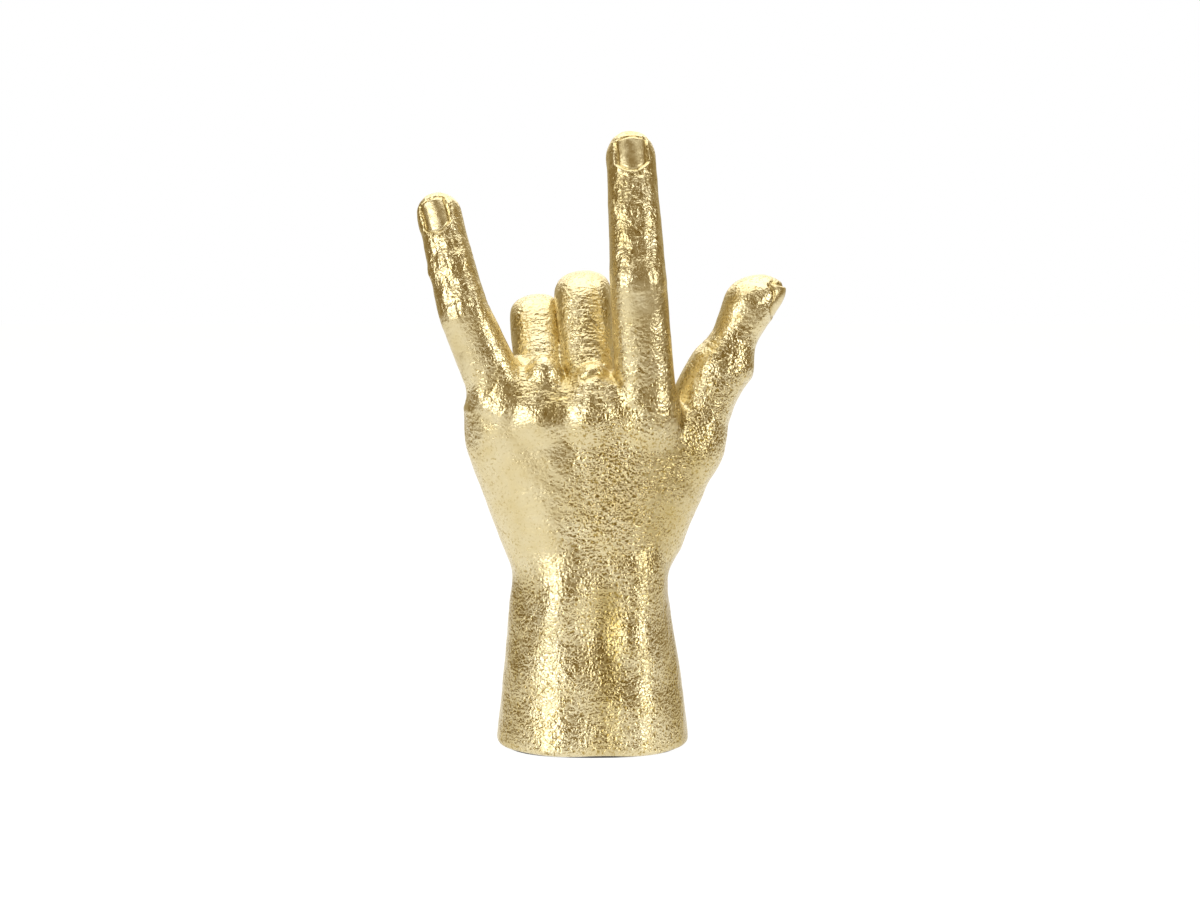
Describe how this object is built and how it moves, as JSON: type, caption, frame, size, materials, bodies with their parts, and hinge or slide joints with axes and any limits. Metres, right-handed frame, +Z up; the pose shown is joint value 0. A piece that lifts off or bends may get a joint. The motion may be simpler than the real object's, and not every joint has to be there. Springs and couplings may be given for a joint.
{
  "type": "hand sculpture",
  "caption": "Life-size left hand standing on its cut forearm, thumb, index and little finger stretched out, other fingers folded into the palm; a gold-leaf ornament for a shelf.",
  "frame": {"origin": "middle of the felt face that the hand stands on", "axes": "+Z up along the forearm, the back of the hand faces -Y, the thumb side is +X"},
  "size_m": [0.1354, 0.0616, 0.2316],
  "materials": {
    "gold_leaf": "satin",
    "steel": "satin",
    "ballast": "matte",
    "board": "matte",
    "felt": "matte"
  },
  "bodies": {
    "root": {"palm_shell": "gold_leaf", "index_finger": "gold_leaf", "middle_finger": "gold_leaf", "ring_finger": "gold_leaf", "little_finger": "gold_leaf", "thumb": "gold_leaf", "index_rod": "steel", "little_rod": "steel", "thumb_rod": "steel", "middle_pin": "steel", "ring_pin": "steel", "ballast_core": "ballast", "base_plate": "board", "felt_pad": "felt"}
  },
  "joints": []
}
